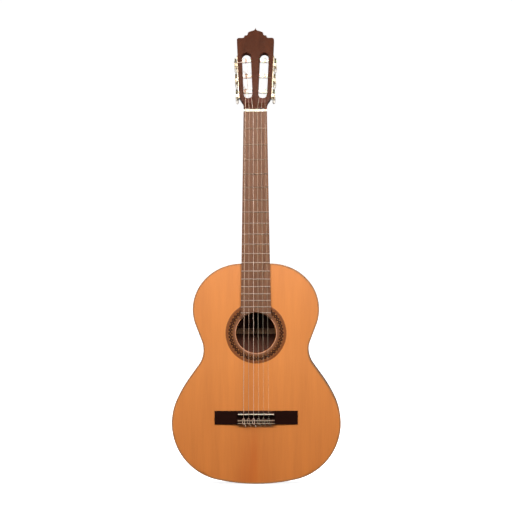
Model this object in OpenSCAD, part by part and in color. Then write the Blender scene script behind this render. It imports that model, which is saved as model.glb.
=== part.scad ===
// Classical guitar, upright: +Z runs up the neck, -Y is the face, +X is the treble side.
// z = 0 is the tail of the body, x = 0 the centreline, y = 0 the middle of the whole depth.

/* [Strings] */
// Sounding length of the strings, nut to saddle
scale_len = 650; // [640:1:655]
// Distance between the outer strings at the nut
nut_spread = 43; // [40:0.5:44]
// Distance between the outer strings at the saddle
saddle_spread = 54; // [52:0.5:56]
// Height of the saddle's crown over the soundboard
saddle_h = 13.6; // [12:0.2:14]

/* [Body] */
// Depth of the body where the arched back is deepest
body_depth = 100; // [94:1:104]
// Radius of the arch of the back
dome_r = 4500; // [3500:100:6000]
// Thickness of the soundboard and of the back
plate_t = 2.5; // [2:0.1:3]
// Width of the bindings and thickness of the ribs
rib_t = 2; // [1.8:0.1:2.4]
// Height of the bindings on the sides
bind_h = 5.5; // [4:0.5:7]
// Radius of the sound hole
hole_r = 43.2; // [42:0.2:44]
// Height of the sound hole's centre over the tail
hole_z = 324.7; // [323:0.1:327]

/* [Neck and headstock] */
// Width of the fingerboard at the nut
nut_w = 50.5; // [50:0.5:52]
// Width of the fingerboard at the body
join_w = 61.6; // [61:0.2:63]
// Thickness of the fingerboard
board_t = 6.5; // [5.5:0.5:7]
// Backward tilt of the headstock
tilt = 15; // [13:1:16]
// Thickness of the headstock with its veneer
head_t = 19; // [18:0.5:20]
// Outward lean of the headstock's sides and of its slots
lean = 2.5; // [2.4:0.05:2.6]

/* [Tuners] */
// Distance between neighbouring rollers
roller_gap = 35; // [34.5:0.5:35]
// Number of teeth on each roller's gear
gear_teeth = 14; // [12:1:16]

/* [Hidden] */
$fn = 48;

// Half outline of the body from the middle of the tail to the neck. Each row is a radius and
// its turn in degrees, hollow where negative, or the length of a straight and 0.
outline = [[388, 12.7], [124, 102], [288, 11.2], [32, 0], [54.5, -57], [35.9, 0],
           [93.6, 59.6], [107.6, 51.5]];
arc_step = 5;
body_len = start(len(outline), 0)[1];
// The twelfth fret stands 2 mm over the joint, and the saddle is set back to bring fretted
// notes into tune.
nut_z = body_len + scale_len / 2 + 2;
saddle_z = nut_z - scale_len - 1.4;

// The whole depth runs from the strings over the saddle to the back
string_dia = [0.71, 0.82, 1.02, 0.74, 0.89, 1.09];
face_y = -(body_depth - saddle_h - 1.1) / 2;

purfling_w = 1.2;
lining_w = 5;
lining_h = 14;
inner = rib_t + lining_w;
dome_z = 150;
block_half = 34;
tail_len = 16;
neck_len = 28;

board_end = 355;
board_cut_r = hole_r + 2;
fret_count = 19;
fret_h = 1.1;
fret_r = 1.3;
tang = [0.6, 2.4];
nut_len = 5;
nut_h = 9.1;
nut_string_y = -8.3;

bridge_len = 179;
bridge_low = 128.5;
bridge_high = 157.5;
centre_half = 39.6;
tie_high = 138.3;
beam_low = 147;
beam_h = 9.4;
tie_h = 9;
tie_hole_y = -4.8;
saddle_t = 2.6;
inlay_rows = [[129.8, 131.2], [135.5, 137.7]];

rosette_r = [44, 51, 59.4, 65.5];
rosette_t = 1;
board_brace_z = [388, 262];
back_brace_z = [398, 327, 205, 95];
brace_w = 8;
strut_count = 7;

heel_half = 13;
heel_top_z = body_len + 83;
heel_foot_z = body_len + 20;
cap_t = 2.5;
neck_deep = 19;

// The headstock's frame: s runs up its face, d into it, and its face meets the nut's back
veneer_t = 2;
head_z = nut_z + nut_len + veneer_t * tan(tilt);
neck_thin = head_t * cos(tilt) - veneer_t;
flare = [10, 31];
flare_half = 34.8;
side_top = 157.1;
slot_r = 9.5;
slot_mid = 77.2;
slot_half = 51;
slot_x = 17.6;

// The tuners' frame: w runs outward from the headstock's side, d into it, u along it
roller_s = 76.6;
side_x = flare_half + (roller_s - flare[1]) * tan(lean);
roller_r = 5;
roller_d = 9.5;
pin_r = 3.5;
shaft_r = 2.5;
fit_gap = 0.08;
slot_near = -(side_x - slot_x) * cos(lean) + slot_r;
slot_far = slot_near - 2 * slot_r;
pin_len = 5;
tuner_plate_t = 1.5;
gear_w = [2.75, 6.75];
gear_r = 6.2;
tooth_h = 1.3;
worm_r = 3;
worm_w = 4.75;
worm_drop = gear_r + worm_r + 0.15;
worm_shaft_r = 1.6;
worm_d = [6.1, 14.9];
bushing_d = [[3.4, 6], [15, 17.4]];
screw_u = [43, 14, -21, -49];

// String numbers: 1 to 3 on the treble side, 4 to 6 on the bass side.
// Strings 1 and 6 go to the rollers next to the nut, 3 and 4 to those next to the crest.
function side(n) = n <= 3 ? 1 : -1;
function place(n) = n <= 3 ? n - 2 : 5 - n;
function roller_u(n) = place(n) * roller_gap;
function string_x(n, spread) = spread * (0.5 - (n - 1) / 5);
// Where the string lands on its roller, measured from the headstock's side. The first and the
// last string land outside the middle of the slot.
function landing(n) = slot_near - slot_r + (place(n) == -1 ? 4.5 : 0.3);

// ---- outline of the body ----
function sum_turns(i) = i == 0 ? 0 : sum_turns(i - 1) + outline[i - 1][1];
function ray(a) = [cos(a), sin(a)];
function step(i, d, f) =
    let (a = outline[i][1] * f)
    outline[i][1] == 0 ? outline[i][0] * f * ray(sum_turns(i))
    : 2 * (outline[i][0] - d * sign(a)) * sin(abs(a) / 2) * ray(sum_turns(i) + a / 2);
function start(i, d) = i == 0 ? [0, d] : start(i - 1, d) + step(i - 1, d, 1);
function half_outline(d) = [
    for (i = [0:len(outline) - 1])
        let (n = max(1, round(abs(outline[i][1]) / arc_step)))
        for (k = [0:n - 1])
            start(i, d) + (k == 0 ? [0, 0] : step(i, d, k / n)),
    start(len(outline), d)
];
function mirrored(p) = [for (i = [len(p) - 1:-1:0]) if (p[i][0] > 0.001) [-p[i][0], p[i][1]]];
function full_outline(d) = concat(half_outline(d), mirrored(half_outline(d)));

function arc(c, r, a0, a1, n) = [for (i = [0:n]) c + r * ray(a0 + (a1 - a0) * i / n)];
function stadium(r, half) = concat(arc([0, half], r, 0, 180, 16), arc([0, -half], r, 180, 360, 16));
function unit(v) = v / norm(v);

module body_frame() {
    translate([0, face_y, 0])
        children();
}

// A flat piece from y0 to y0 + t, its outline drawn as x and z
module slab(t, y0) {
    translate([0, y0 + t, 0])
        rotate([90, 0, 0])
            linear_extrude(t)
                children();
}

module ring(d0, d1) {
    difference() {
        polygon(full_outline(d0));
        polygon(full_outline(d1));
    }
}

// Everything in front of the arched back, drawn inset by its depth under the back's surface
module dome(depth, low = 0) {
    translate([0, 0, dome_z])
        rotate([-90, 0, 0])
            rotate_extrude($fn = 96)
                intersection() {
                    translate([0, body_depth - dome_r])
                        circle(dome_r - depth, $fn = 1440);
                    translate([0, low])
                        square([360, body_depth + 10]);
                }
}

module dome_shell(depth0, depth1) {
    difference() {
        dome(depth0);
        dome(depth1, -1);
    }
}

// Where the two end blocks stand, running out past the ribs
module tail_area() {
    translate([-block_half, -10]) square([2 * block_half, rib_t + tail_len + 10]);
}

module neck_area() {
    translate([-block_half, body_len - rib_t - neck_len]) square([2 * block_half, neck_len + 12]);
}

module inside_ribs() {
    intersection() {
        polygon(full_outline(rib_t));
        children();
    }
}

module lining_area() {
    difference() {
        ring(rib_t, inner);
        tail_area();
        neck_area();
    }
}

// ---- body ----
module soundboard() {
    color("peru") body_frame() difference() {
        slab(plate_t, 0) polygon(full_outline(rib_t));
        slab(purfling_w + 1, -1) ring(rib_t - 1, rib_t + purfling_w);
        translate([0, plate_t + 1, hole_z]) rotate([90, 0, 0]) cylinder(h = plate_t + 2, r = hole_r);
        slab(rosette_t + 1, -1) translate([0, hole_z]) difference() {
            circle(rosette_r[3], $fn = 96);
            circle(rosette_r[0], $fn = 96);
        }
    }
}

module back_plate() {
    color("saddlebrown") body_frame() intersection() {
        dome_shell(0, plate_t);
        slab(60, 60) polygon(full_outline(rib_t));
    }
}

module rib(s) {
    color("saddlebrown") body_frame() intersection() {
        dome(bind_h);
        slab(120, bind_h) ring(0, rib_t);
        translate([s < 0 ? -300 : 0, 0, -10]) cube([300, 120, 600]);
    }
}

module linings() {
    color("burlywood") body_frame() {
        slab(lining_h, plate_t) lining_area();
        intersection() {
            dome_shell(plate_t, plate_t + lining_h);
            slab(60, 60) lining_area();
        }
    }
}

module top_binding() {
    color("maroon") body_frame() slab(bind_h, 0) ring(0, rib_t);
}

module back_binding() {
    color("maroon") body_frame() intersection() {
        dome_shell(0, bind_h);
        slab(60, 60) ring(0, rib_t);
    }
}

module top_purfling() {
    color("tan") body_frame() slab(purfling_w, 0) ring(rib_t, rib_t + purfling_w);
}

module tail_block() {
    color("burlywood") body_frame() intersection() {
        dome(plate_t);
        slab(120, plate_t) inside_ribs() tail_area();
    }
}

module neck_block() {
    color("burlywood") body_frame() intersection() {
        dome(plate_t);
        slab(120, plate_t) inside_ribs() neck_area();
    }
}

module board_bars() {
    for (z = board_brace_z) translate([-200, z - brace_w / 2]) square([400, brace_w]);
}

module harmonic_bars() {
    color("wheat") body_frame() slab(16, plate_t) intersection() {
        polygon(full_outline(inner));
        board_bars();
    }
}

module patch_area() {
    translate([-93, 130]) square([186, 26]);
}

module bridge_patch() {
    color("wheat") body_frame() slab(1.8, plate_t) patch_area();
}

// Struts that fan out from the lower harmonic bar to the tail
module fan_braces() {
    color("wheat") body_frame() difference() {
        slab(6, plate_t) intersection() {
            polygon(full_outline(inner + 6));
            translate([-200, 30]) square([400, board_brace_z[1] - brace_w / 2 - 31]);
            for (i = [0:strut_count - 1])
                let (k = i - (strut_count - 1) / 2)
                translate([k * 17, 258]) rotate(k * 5.2) translate([-2.5, -260]) square([5, 280]);
        }
        slab(1.8, plate_t) patch_area();
    }
}

module back_bars() {
    for (z = back_brace_z) translate([-200, z - brace_w * 0.75]) square([400, brace_w * 1.5]);
}

module back_braces() {
    color("burlywood") body_frame() intersection() {
        dome_shell(plate_t, plate_t + 14);
        slab(60, 60) intersection() {
            polygon(full_outline(inner));
            back_bars();
        }
    }
}

module back_seam_strip() {
    color("wheat") body_frame() intersection() {
        dome_shell(plate_t, plate_t + 2);
        slab(60, 60) difference() {
            translate([-9, rib_t + tail_len]) square([18, body_len - 2 * rib_t - tail_len - neck_len]);
            back_bars();
        }
    }
}

// ---- rosette ----
module rosette_ring(r0, r1) {
    slab(rosette_t, 0) translate([0, hole_z]) difference() {
        circle(r1, $fn = 96);
        circle(r0, $fn = 96);
    }
}

module rosette_mosaic() {
    color("black") body_frame() rosette_ring(rosette_r[1], rosette_r[2]);
}

module rosette_borders() {
    color("sienna") body_frame() {
        rosette_ring(rosette_r[0], rosette_r[1]);
        rosette_ring(rosette_r[2], rosette_r[3]);
    }
}

// ---- neck ----
function board_half(z) = (nut_w + (join_w - nut_w) * (nut_z - z) / (nut_z - body_len)) / 2;

module fingerboard() {
    color("rosybrown") body_frame() difference() {
        slab(board_t, -board_t) difference() {
            polygon([[-board_half(board_end), board_end], [board_half(board_end), board_end],
                     [nut_w / 2, nut_z], [-nut_w / 2, nut_z]]);
            translate([0, hole_z]) circle(board_cut_r, $fn = 96);
        }
        for (i = [1:fret_count])
            translate([-60, -board_t - 1, fret_z(i) - tang[0] / 2]) cube([120, tang[1] + 1, tang[0]]);
    }
}

function fret_z(i) = nut_z - scale_len * (1 - pow(2, -i / 12));

module fret_profile() {
    intersection() {
        circle(fret_r, $fn = 32);
        translate([0, -fret_r]) square([fret_h, 2 * fret_r]);
    }
    translate([-tang[1], -tang[0] / 2]) square([tang[1] + 0.01, tang[0]]);
}

module frets() {
    color("silver") body_frame() difference() {
        for (i = [1:fret_count])
            let (half = board_half(fret_z(i)) - 0.3)
            translate([half, -board_t, fret_z(i)])
                rotate([0, -90, 0]) rotate([0, 0, -90])
                    linear_extrude(2 * half) fret_profile();
        slab(20, -15) translate([0, hole_z]) circle(board_cut_r, $fn = 96);
    }
}

// Sections of the neck are round underneath. From the heel's start they deepen to the foot
// and narrow to its cap. g is 0 on the neck and 1 on the foot, k runs from the edge to the middle.
section_n = 10;
cap_y = body_depth - pow(body_len - dome_z, 2) / (2 * dome_r) - cap_t;
function neck_w(z) = nut_w / 2 + (join_w - nut_w) / 2 * (nut_z - z) / (nut_z - body_len);
function neck_t(z) = z < heel_top_z ? neck_deep
    : neck_thin + (neck_deep - neck_thin) * (nut_z - z) / (nut_z - heel_top_z);
function round_half(w, t, k) =
    let (c = (w * w - t * t) / (2 * t), r = t + c, a = atan2(c, w), b = a + (90 - a) * k)
    [r * cos(b) / w, (r * sin(b) - c) / t];
function section_point(z, depth, g, k) =
    let (w = neck_w(z), p = round_half(w, neck_t(z), k), cap = 0.5 + (heel_half - 0.5) * g)
    [cap + (w - cap) * pow(max(p[0], 0), 1 + 3 * g), p[1] * depth];
function section(z, depth, g) = [
    for (k = [0:section_n]) section_point(z, depth, g, k / section_n),
    for (k = [section_n:-1:0]) let (p = section_point(z, depth, g, k / section_n)) [-p[0], p[1]]
];
function lift(ring2, z) = [for (p = ring2) [p[0], p[1], z]];
heel_rings = [
    lift(section(body_len, cap_y, 1), body_len),
    for (a = [90:-9:0])
        let (g = 1 - cos(a), z = heel_top_z - (heel_top_z - heel_foot_z) * sin(a))
        lift(section(z, neck_deep + (cap_y - neck_deep) * g, g), z)
];
top_ring = [for (p = section(nut_z, neck_thin, 0)) [p[0], p[1], head_z - (p[1] + veneer_t) * tan(tilt)]];

// Skin over a stack of rings of equal length, closed at both ends
module skin(rings) {
    n = len(rings[0]);
    m = len(rings);
    last = (m - 1) * n;
    polyhedron(
        points = [for (r = rings) for (p = r) p],
        faces = [
            [for (i = [0:n - 1]) i],
            [for (i = [n - 1:-1:0]) last + i],
            for (j = [0:m - 2]) for (i = [0:n - 1]) let (e = (i + 1) % n)
                [j * n + i, (j + 1) * n + i, (j + 1) * n + e, j * n + e]
        ]
    );
}

module neck() {
    color("sienna") body_frame() skin(concat(heel_rings, [top_ring]));
}

module heel_cap() {
    color("maroon") body_frame()
        translate([-heel_half, cap_y, body_len])
            cube([2 * heel_half, cap_t, heel_foot_z - body_len]);
}

// ---- headstock ----
module head() {
    body_frame() translate([0, -veneer_t, head_z]) rotate([-tilt, 0, 0]) children();
}

// Half of the headstock's outline from the nut to the point of the crest, as x and s
crest_x = flare_half + (side_top - flare[1]) * tan(lean);
head_half = concat(
    [[nut_w / 2, 0]],
    [for (i = [0:8]) let (f = i / 8)
        [nut_w / 2 + (flare_half - nut_w / 2) * f * f * (3 - 2 * f), flare[0] + (flare[1] - flare[0]) * f]],
    arc([crest_x - 4.6, side_top], 4.6, 0, 90, 6),
    arc([27.9, 165.5], 3.8, 270, 180, 5),
    arc([22.2, 165.5], 1.9, 0, 90, 4),
    arc([20.2, 170.6], 3.2, 270, 180, 5),
    arc([12.2, 171], 4.8, 0, 80, 6),
    arc([7.4, 185.3], 7.4, 270, 180, 6)
);

module slot_area(s) {
    translate([s * slot_x, slot_mid]) rotate(-s * lean) polygon(stadium(slot_r, slot_half - slot_r));
}

// Everything above a ramp that sinks from the face to the lower end of a slot
module ramp(s) {
    translate([s * slot_x, 0, slot_mid]) rotate([0, s * lean, 0])
        translate([0, 0, -slot_half - 19]) rotate([-15, 0, 0]) translate([-8, -20, 0]) cube([16, 20, 26]);
}

module head_blank(d0, d1) {
    intersection() {
        slab(d1 - d0, d0) difference() {
            polygon(concat(head_half, mirrored(head_half)));
            slot_area(-1);
            slot_area(1);
        }
        head_cone();
    }
}

// The round back of the neck runs out into the flat back of the headstock
module head_cone() {
    y0 = veneer_t / cos(tilt);
    c = (pow(nut_w / 2, 2) + y0 * y0 - head_t * head_t) / (2 * (head_t - y0));
    r = head_t + c;
    translate([0, -c, 0]) cylinder(h = 190, r1 = r, r2 = r + 170, $fn = 96);
}

module headstock() {
    color("sienna") difference() {
        head() head_blank(veneer_t, head_t);
        head() for (s = [-1, 1]) ramp(s);
        for (n = [1:6]) tuner(n) {
            across(slot_far - 1, 1, roller_r + fit_gap);
            across(slot_far - pin_len - 0.3, slot_far + 1, pin_r + fit_gap);
        }
    }
}

module headstock_veneer() {
    color("maroon") head() difference() {
        head_blank(0, veneer_t);
        for (s = [-1, 1]) ramp(s);
    }
}

// ---- nut, saddle and bridge ----
// Stands at p, +Z turned to point at q, with no roll about it
module aim(p, q) {
    v = q - p;
    translate(p) rotate([-atan2(v[1], norm([v[0], v[2]])), atan2(v[0], v[2]), 0]) children();
}

module nut() {
    color("ivory") difference() {
        body_frame() translate([-nut_w / 2, 0, 0]) rotate([90, 0, 90])
            linear_extrude(nut_w)
                polygon([[0, nut_z], [-nut_h, nut_z], [-nut_h, nut_z + 1.4],
                         [-nut_h + 1.6, nut_z + nut_len], [0, nut_z + nut_len]]);
        for (n = [1:6])
            let (r = string_dia[n - 1] / 2 + 0.06)
            aim(nut_point(n), roller_point(n)) {
                translate([0, 0, -2]) cylinder(h = 10, r = r, $fn = 24);
                translate([-r, -6, -2]) cube([2 * r, 6, 10]);
            }
    }
}

module saddle() {
    color("ivory") body_frame() translate([-38.8, 0, saddle_z]) rotate([90, 0, 90])
        linear_extrude(77.6) union() {
            translate([-saddle_h + saddle_t / 2, 0]) circle(saddle_t / 2, $fn = 32);
            translate([-saddle_h + saddle_t / 2, -saddle_t / 2])
                square([saddle_h - saddle_t / 2 - 2.4, saddle_t]);
        }
}

module bridge() {
    color([0.13, 0.06, 0.05]) body_frame() difference() {
        union() {
            translate([0, 0, bridge_low]) linear_extrude(bridge_high - bridge_low)
                polygon([[-bridge_len / 2, 0], [-bridge_len / 2, -2.4], [-centre_half, -4],
                         [centre_half, -4], [bridge_len / 2, -2.4], [bridge_len / 2, 0]]);
            translate([-centre_half, 0, 0]) rotate([90, 0, 90]) linear_extrude(2 * centre_half)
                polygon([[-3, beam_low], [-beam_h, beam_low], [-beam_h, bridge_high - 3],
                         [-beam_h + 4, bridge_high], [-3, bridge_high]]);
            translate([-centre_half, -tie_h, bridge_low])
                cube([2 * centre_half, tie_h, tie_high - bridge_low]);
        }
        translate([-centre_half - 1, -20, tie_high]) cube([2 * centre_half + 2, 17, beam_low - tie_high]);
        translate([-38.8, -20, saddle_z - saddle_t / 2]) cube([77.6, 17.6, saddle_t]);
        for (z = inlay_rows)
            translate([-centre_half - 1, -tie_h - 1, z[0]])
                cube([2 * centre_half + 2, 1.8, z[1] - z[0]]);
        for (n = [1:6])
            translate([string_x(n, saddle_spread), tie_hole_y, bridge_low - 1])
                cylinder(h = tie_high - bridge_low + 2, r = 0.9, $fn = 24);
    }
}

module tie_block_inlays() {
    color("ivory") body_frame() for (z = inlay_rows)
        translate([-centre_half, -tie_h, z[0]]) cube([2 * centre_half, 0.8, z[1] - z[0]]);
}

// ---- tuners ----
module tuner_side(s) {
    mirror([s < 0 ? 1 : 0, 0, 0])
        head() translate([side_x, 0, roller_s]) rotate([0, lean, 0]) children();
}

module tuner(n) {
    tuner_side(side(n)) translate([0, 0, roller_u(n)]) children();
}

// A cylinder along the roller's axis from w0 to w1
module across(w0, w1, r) {
    translate([w0, roller_d, 0]) rotate([0, 90, 0]) cylinder(h = w1 - w0, r = r);
}

// A cylinder along the worm's axis from d0 to d1
module along_worm(d0, d1, r) {
    translate([worm_w, d0, -worm_drop]) rotate([-90, 0, 0]) cylinder(h = d1 - d0, r = r);
}

// The same places as points: w, d, u of tuner n in the whole guitar's frame
function tuner_point(n, w, d, u) =
    let (a = [w * cos(lean) + u * sin(lean) + side_x, d, -w * sin(lean) + u * cos(lean) + roller_s])
    [side(n) * a[0], face_y - veneer_t + a[1] * cos(tilt) + a[2] * sin(tilt),
     head_z - a[1] * sin(tilt) + a[2] * cos(tilt)];
function nut_point(n) = [string_x(n, nut_spread), face_y + nut_string_y, nut_z];

// Where the string meets its roller: the tangent from the nut to a circle about the axis
function roller_point(n) =
    let (c = tuner_point(n, landing(n), roller_d, roller_u(n)),
         a = unit(tuner_point(n, landing(n) + 1, roller_d, roller_u(n)) - c),
         v = c - nut_point(n),
         across_v = v - a * (v * a),
         along_v = unit(across_v),
         f0 = cross(a, along_v),
         front = f0[1] < 0 ? f0 : -f0,
         reach = roller_r + string_dia[n - 1] / 2 + 0.06,
         q = asin(reach / norm(across_v)))
    c - reach * sin(q) * along_v + reach * cos(q) * front;

module roller(n) {
    color("ivory") difference() {
        tuner(n) {
            across(slot_far + 0.3, -0.2, roller_r);
            across(slot_far - pin_len, slot_far + 1, pin_r);
            across(-1, gear_w[1] + 0.9, shaft_r);
        }
        tuner(n) translate([landing(n), roller_d, 0]) rotate([90, 0, 0])
            cylinder(h = 4 * roller_r, r = 0.8, center = true, $fn = 24);
    }
}

module gear(n) {
    tooth = 360 / gear_teeth;
    color("darkgoldenrod") tuner(n) translate([gear_w[0], roller_d, 0]) rotate([0, 90, 0])
        linear_extrude(gear_w[1] - gear_w[0]) difference() {
            polygon([for (i = [0:gear_teeth - 1]) for (k = [[-0.3, 0], [-0.13, 1], [0.13, 1], [0.3, 0]])
                (gear_r - tooth_h + tooth_h * k[1]) * ray((i + 0.5 + k[0]) * tooth)]);
            circle(shaft_r, $fn = 48);
        }
}

// The worm's thread, drawn as rounds of the gear's pitch on the shaft
module worm(n) {
    pitch = 2 * PI * (gear_r - tooth_h / 2) / gear_teeth;
    rounds = floor((worm_d[1] - worm_d[0]) / pitch);
    color("goldenrod") tuner(n) {
        translate([worm_w, worm_d[0], -worm_drop]) rotate([-90, 0, 0]) rotate_extrude($fn = 48)
            polygon([[0, 0], [worm_r - tooth_h, 0],
                for (i = [0:rounds - 1]) for (k = [[0.15, 1], [0.5, 1], [0.85, 0]])
                    [worm_r - tooth_h + tooth_h * k[1], (i + k[0]) * pitch],
                [worm_r - tooth_h, worm_d[1] - worm_d[0]], [0, worm_d[1] - worm_d[0]]]);
        along_worm(bushing_d[0][0], worm_d[0], worm_shaft_r);
        along_worm(worm_d[1], 38, worm_shaft_r);
    }
}

// Flat oval grip with a straight neck where the shaft goes in
module button(n) {
    color("antiquewhite") tuner(n) difference() {
        translate([worm_w - 3.5, 0, -worm_drop]) rotate([90, 0, 90])
            linear_extrude(7)
                polygon(concat([[25, 4], [25, -4]], arc([32, -4], 4.5, 210, 270, 4),
                               arc([41, -4.2], 4.5, 280, 350, 5), arc([41, 4.2], 4.5, 10, 80, 5),
                               arc([32, 4], 4.5, 90, 150, 4)));
        along_worm(24, 38, worm_shaft_r);
    }
}

module tuner_plates() {
    color("goldenrod") for (s = [-1, 1]) difference() {
        tuner_side(s) rotate([90, 0, 90]) linear_extrude(tuner_plate_t)
            polygon([[1.5, -46], [5, -52], [9.5, -53.5], [14, -52], [17.5, -46],
                     [17.5, 41], [14, 46], [9.5, 47.5], [5, 46], [1.5, 41]]);
        tuner_side(s) {
            for (i = [-1:1]) translate([0, 0, i * roller_gap]) across(-1, 3, shaft_r + fit_gap);
            for (u = screw_u) translate([0, 0, u]) across(-1, 3, 1.3);
        }
    }
}

module worm_bushings() {
    color("goldenrod") for (n = [1:6]) difference() {
        tuner(n) for (d = bushing_d)
            translate([tuner_plate_t, d[0], -worm_drop - 3]) cube([6, d[1] - d[0], 6]);
        tuner(n) along_worm(0, 20, worm_shaft_r + 0.06);
    }
}

module tuner_plate_screws() {
    color("goldenrod") for (s = [-1, 1]) difference() {
        tuner_side(s) for (u = screw_u) translate([0, 0, u]) {
            across(0, tuner_plate_t, 1.3);
            across(tuner_plate_t, tuner_plate_t + 0.9, 2.3);
        }
        tuner_side(s) for (u = screw_u)
            translate([tuner_plate_t + 0.4, roller_d - 3, u - 0.3]) cube([2, 6, 0.6]);
    }
}

// ---- strings ----
function tube_ring(p, q, c, r) =
    let (t = unit(q - p), b = unit([t[2], 0, -t[0]]), u = cross(t, b))
    [for (i = [0:7]) let (a = 22.5 + 45 * i) c + r * (cos(a) * b + sin(a) * u)];

// Tied behind the bridge, up through the tie block, over the saddle and the nut to the roller
module string_run(n) {
    r = string_dia[n - 1] / 2;
    x = string_x(n, saddle_spread);
    p = [
        [x, face_y + tie_hole_y, bridge_low - 0.8],
        [x, face_y + tie_hole_y, tie_high + 0.4],
        [x, face_y - saddle_h - r - 0.04, saddle_z],
        nut_point(n),
        roller_point(n)
    ];
    color(n <= 3 ? "whitesmoke" : "silver") skin([
        tube_ring(p[0], p[1], p[0], r), tube_ring(p[0], p[2], p[1], r), tube_ring(p[1], p[3], p[2], r),
        tube_ring(p[2], p[4], p[3], r), tube_ring(p[3], p[4], p[4], r)
    ]);
}

soundboard();
back_plate();
rib(-1);  // rib_bass
rib(1);  // rib_treble
linings();
top_binding();
back_binding();
top_purfling();
tail_block();
neck_block();
neck();
heel_cap();
headstock();
headstock_veneer();
fingerboard();
frets();
nut();
saddle();
bridge();
tie_block_inlays();
rosette_mosaic();
rosette_borders();
harmonic_bars();
fan_braces();
back_braces();
back_seam_strip();
bridge_patch();
for (n = [1:6]) string_run(n);
tuner_plates();
worm_bushings();
tuner_plate_screws();
for (n = [1:6]) roller(n);
for (n = [1:6]) gear(n);
for (n = [1:6]) worm(n);
for (n = [1:6]) button(n);
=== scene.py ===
"""A classical guitar: finishes, strings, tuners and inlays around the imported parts."""
import math

import bmesh
import bpy
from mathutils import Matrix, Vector


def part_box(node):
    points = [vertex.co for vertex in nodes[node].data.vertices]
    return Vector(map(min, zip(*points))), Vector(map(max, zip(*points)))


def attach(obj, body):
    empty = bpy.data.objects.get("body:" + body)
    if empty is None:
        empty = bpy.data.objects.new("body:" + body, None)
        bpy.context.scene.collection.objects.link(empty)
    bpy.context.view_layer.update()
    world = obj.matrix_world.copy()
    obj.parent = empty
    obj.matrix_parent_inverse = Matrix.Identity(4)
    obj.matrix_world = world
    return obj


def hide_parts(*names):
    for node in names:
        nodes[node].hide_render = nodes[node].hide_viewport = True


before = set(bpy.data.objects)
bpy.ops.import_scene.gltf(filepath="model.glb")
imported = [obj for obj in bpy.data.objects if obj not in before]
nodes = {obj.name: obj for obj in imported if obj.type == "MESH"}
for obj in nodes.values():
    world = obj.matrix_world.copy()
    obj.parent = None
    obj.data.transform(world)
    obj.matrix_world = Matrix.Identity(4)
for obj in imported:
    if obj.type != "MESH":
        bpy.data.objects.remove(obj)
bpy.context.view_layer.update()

# ---------------------------------------------------------------- places, in millimetres
# Built pieces are drawn in millimetres: x to the treble side, y into the guitar from the
# soundboard's face, z up from the tail.
MM = 0.001
FACE_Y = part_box("soundboard")[0].y / MM
BODY_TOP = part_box("top_binding")[1].z / MM
BODY_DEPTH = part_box("back_plate")[1].y / MM - FACE_Y
NUT_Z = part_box("nut")[0].z / MM
SCALE = NUT_Z - (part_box("saddle")[0].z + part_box("saddle")[1].z) / 2 / MM
SADDLE_Z = NUT_Z - SCALE
HOLE_Z = (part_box("rosette_borders")[0].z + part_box("rosette_borders")[1].z) / 2 / MM

# Body: the ribs and the back are thin plates, and the back's arch is part of a large sphere
RIB_T = 2.0
BIND_H = 5.5
EDGE_ROUND = 0.7
PURFLING_W = 1.35
PURFLING_T = 1.2
PLATE_T = 2.5
DOME_R = 4500.0
DOME_Z = 150.0

# Neck: half widths at the nut and where it joins the body
NUT_HALF = 25.25
JOIN_HALF = 30.8
NUT_LEN = 5.0

# Headstock: it tilts back, and its sides lean outward to the crest
VENEER_T = 2.0
HEAD_T = 19.0
TILT = math.radians(15)
LEAN = math.radians(2.5)
HEAD_Z = NUT_Z + NUT_LEN + VENEER_T * math.tan(TILT)
FLARE_END = (34.8, 31.0)

# Tuners: S is measured along the headstock from the nut, D into it from its face
ROLLER_S = 76.6
ROLLER_GAP = 35.0
ROLLER_R = 5.0
ROLLER_D = 9.5
SIDE_X = FLARE_END[0] + (ROLLER_S - FLARE_END[1]) * math.tan(LEAN)
SLOT_X = 17.6
SLOT_MIDDLE = -(SIDE_X - SLOT_X) * math.cos(LEAN)
WORM_W = 4.75
WORM_DROP = 9.35
GEAR_TEETH = 14

# Strings are numbered from the treble side
STRING_DIA = {1: 0.71, 2: 0.82, 3: 1.02, 4: 0.74, 5: 0.89, 6: 1.09}
STRINGS = range(1, 7)
TREBLES = (1, 2, 3)


def place(x, y, z):
    """A point of the body's millimetres in the frame's metres."""
    return Vector((x, y + FACE_Y, z)) * MM


def side(n):
    """1 for the treble side, -1 for the bass side."""
    return 1 if n in TREBLES else -1


def along_slot(n):
    """-1 for the roller next to the nut, 1 for the one next to the crest."""
    return n - 2 if n in TREBLES else 5 - n


def tuner_place(n, w, d, u):
    """w outward from the headstock's side, d into it, u up along it from the tuner's roller."""
    u = u + along_slot(n) * ROLLER_GAP
    x = w * math.cos(LEAN) + u * math.sin(LEAN) + SIDE_X
    s = -w * math.sin(LEAN) + u * math.cos(LEAN) + ROLLER_S
    return place(side(n) * x, -VENEER_T + d * math.cos(TILT) + s * math.sin(TILT),
                 HEAD_Z - d * math.sin(TILT) + s * math.cos(TILT))


# ---------------------------------------------------------------- outline of the body
# From the middle of the tail to the neck: a radius and its turn, hollow where negative, or the
# length of a straight and 0
OUTLINE = [(388, 12.7), (124, 102), (288, 11.2), (32, 0), (54.5, -57), (35.9, 0),
           (93.6, 59.6), (107.6, 51.5)]


TURN_STEP = 2.0


def half_outline(inset):
    """The outline's treble half, inset mm inward, with a point for each TURN_STEP degrees."""
    x, z, heading = 0.0, inset, 0.0
    points = []
    for size, turn in OUTLINE:
        steps = max(1, round(abs(turn) / TURN_STEP))
        for k in range(steps):
            points.append((x, z))
            if turn == 0:
                length, aim = size, math.radians(heading)
            else:
                bend = math.radians(turn / steps)
                length = 2 * (size - math.copysign(inset, turn)) * math.sin(abs(bend) / 2)
                aim = math.radians(heading) + bend / 2
            x += length * math.cos(aim)
            z += length * math.sin(aim)
            heading += turn / steps
    points.append((x, z))
    return points


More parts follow.
